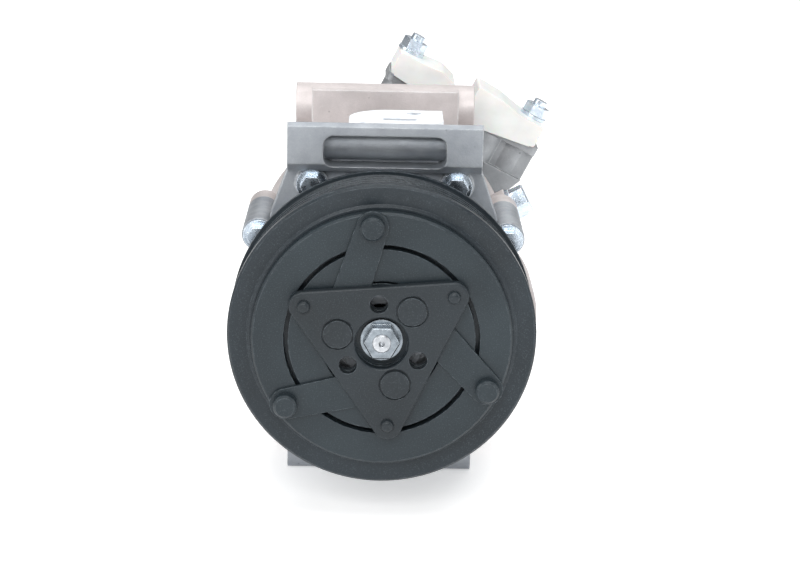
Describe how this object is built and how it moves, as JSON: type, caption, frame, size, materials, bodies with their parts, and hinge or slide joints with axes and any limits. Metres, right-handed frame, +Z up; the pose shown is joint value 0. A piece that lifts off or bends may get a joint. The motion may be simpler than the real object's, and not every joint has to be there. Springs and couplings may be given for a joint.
{
  "type": "automotive air-conditioning compressor",
  "caption": "Belt-driven wobble-plate refrigerant compressor with ribbed pulley, electromagnetic clutch, transverse mounting ears and a tilted port tower with shipping caps",
  "frame": {"origin": "on the shaft axis at the front face of the pulley", "axes": "+Y runs along the shaft from the clutch to the rear head, +X along the mounting ear bores to the right as seen from the clutch, +Z up through the top ears"},
  "size_m": [0.1355, 0.2027, 0.1702],
  "materials": {
    "bearing_steel": "ground",
    "black_rubber": "moulded",
    "brass": "machined",
    "cast_aluminium": "sand-cast, bead blasted",
    "cast_iron": "machined iron",
    "clutch_steel": "satin dark coating",
    "coil_resin": "potting resin",
    "dark_cast_aluminium": "sand-cast, darker",
    "gasket": "rubber-coated steel",
    "machined_steel": "machined",
    "piston_aluminium": "turned",
    "pulley_paint": "satin dark blue-grey coating",
    "white_plastic": "moulded, slightly translucent",
    "zinc_steel": "bright zinc plating"
  },
  "bodies": {
    "case": {"front_housing": "cast_aluminium", "joint_seal_ring": "black_rubber", "cylinder_block": "cast_aluminium", "oil_plug": "zinc_steel", "head_gaskets": "gasket", "suction_reeds": "machined_steel", "valve_plate": "machined_steel", "discharge_reeds": "machined_steel", "rear_head": "dark_cast_aluminium", "control_valve": "brass", "relief_valve": "brass", "front_case_bolts": "zinc_steel", "rear_head_bolts": "zinc_steel", "port_studs": "zinc_steel", "connector_bracket": "zinc_steel", "bracket_screw": "zinc_steel", "coil_shell": "clutch_steel", "coil_winding": "coil_resin", "coil_lead_gland": "black_rubber", "housing_snap_rings": "machined_steel", "bearing_inner_ring": "bearing_steel", "shaft_bearings": "bearing_steel", "shaft_seal": "black_rubber", "guide_rail": "machined_steel"},
    "pulley": {"pulley": "pulley_paint", "bearing_outer_ring": "bearing_steel", "bearing_seals": "black_rubber"},
    "pulley_bearing_balls": {"bearing_balls": "bearing_steel"},
    "shaft": {"drive_shaft": "machined_steel", "lug_rotor": "cast_iron", "hinge_pin": "bearing_steel", "pivot_sleeve": "machined_steel", "swash_journal": "cast_iron", "destroke_spring": "bearing_steel", "thrust_rollers": "bearing_steel", "clutch_hub": "clutch_steel", "hub_plate": "clutch_steel", "hub_rivets": "clutch_steel", "rubber_stops": "black_rubber", "shaft_nut": "zinc_steel", "leaf_springs": "clutch_steel"},
    "armature": {"armature_plate": "clutch_steel", "armature_rivets": "clutch_steel"},
    "wobble": {"wobble_plate": "piston_aluminium", "guide_pin": "bearing_steel"},
    "piston_and_rod_1": {"rod_1": "bearing_steel", "piston_1": "piston_aluminium"},
    "piston_and_rod_2": {"rod_2": "bearing_steel", "piston_2": "piston_aluminium"},
    "piston_and_rod_3": {"rod_3": "bearing_steel", "piston_3": "piston_aluminium"},
    "piston_and_rod_4": {"rod_4": "bearing_steel", "piston_4": "piston_aluminium"},
    "piston_and_rod_5": {"rod_5": "bearing_steel", "piston_5": "piston_aluminium"},
    "suction_port_cover": {"suction_cap": "white_plastic", "suction_cap_nut": "zinc_steel"},
    "discharge_port_cover": {"discharge_cap": "white_plastic", "discharge_cap_nut": "zinc_steel"}
  },
  "joints": [
    {"name": "pulley_spin", "type": "hinge", "parent": "case", "child": "pulley", "pos_m": [0, 0.0135, 0], "axis": [0, 1, 0], "continuous": true},
    {"name": "bearing_balls_orbit", "type": "hinge", "parent": "case", "child": "pulley_bearing_balls", "pos_m": [0, 0.013, 0], "axis": [0, 1, 0], "continuous": true},
    {"name": "shaft_spin", "type": "hinge", "parent": "case", "child": "shaft", "pos_m": [0, 0.06, 0], "axis": [0, 1, 0], "continuous": true},
    {"name": "armature_engage", "type": "slide", "parent": "shaft", "child": "armature", "axis": [0, 1, 0], "range_m": [0, 0.00048], "stiffness_N_per_m": 20000, "springref_m": -0.0005, "deforming": ["leaf_springs"]},
    {"name": "wobble_nutation", "type": "hinge", "parent": "shaft", "child": "wobble", "pos_m": [0, 0.07, 0], "axis": [0, 0.9962, -0.0872], "continuous": true},
    {"name": "rod_ball_1", "type": "hinge", "parent": "wobble", "child": "piston_and_rod_1", "pos_m": [0, 0.07279, 0.03194], "axis": [0, 0.9962, -0.0872], "continuous": true},
    {"name": "rod_ball_2", "type": "hinge", "parent": "wobble", "child": "piston_and_rod_2", "pos_m": [-0.03049, 0.07086, 0.00987], "axis": [0, 0.9962, -0.0872], "continuous": true},
    {"name": "rod_ball_3", "type": "hinge", "parent": "wobble", "child": "piston_and_rod_3", "pos_m": [-0.01884, 0.06774, -0.02584], "axis": [0, 0.9962, -0.0872], "continuous": true},
    {"name": "rod_ball_4", "type": "hinge", "parent": "wobble", "child": "piston_and_rod_4", "pos_m": [0.01884, 0.06774, -0.02584], "axis": [0, 0.9962, -0.0872], "continuous": true},
    {"name": "rod_ball_5", "type": "hinge", "parent": "wobble", "child": "piston_and_rod_5", "pos_m": [0.03049, 0.07086, 0.00987], "axis": [0, 0.9962, -0.0872], "continuous": true},
    {"name": "suction_cap_lift", "type": "slide", "parent": "case", "child": "suction_port_cover", "axis": [0.454, 0, 0.891], "range_m": [0, 0.06]},
    {"name": "discharge_cap_lift", "type": "slide", "parent": "case", "child": "discharge_port_cover", "axis": [0.454, 0, 0.891], "range_m": [0, 0.06]}
  ],
  "couplings": [
    {"joint": "bearing_balls_orbit", "follows": "pulley_spin", "ratio": 0.5582},
    {"joint": "wobble_nutation", "follows": "shaft_spin", "ratio": -1},
    {"joint": "rod_ball_1", "follows": "shaft_spin", "ratio": 1},
    {"joint": "rod_ball_2", "follows": "shaft_spin", "ratio": 1},
    {"joint": "rod_ball_3", "follows": "shaft_spin", "ratio": 1},
    {"joint": "rod_ball_4", "follows": "shaft_spin", "ratio": 1},
    {"joint": "rod_ball_5", "follows": "shaft_spin", "ratio": 1}
  ]
}
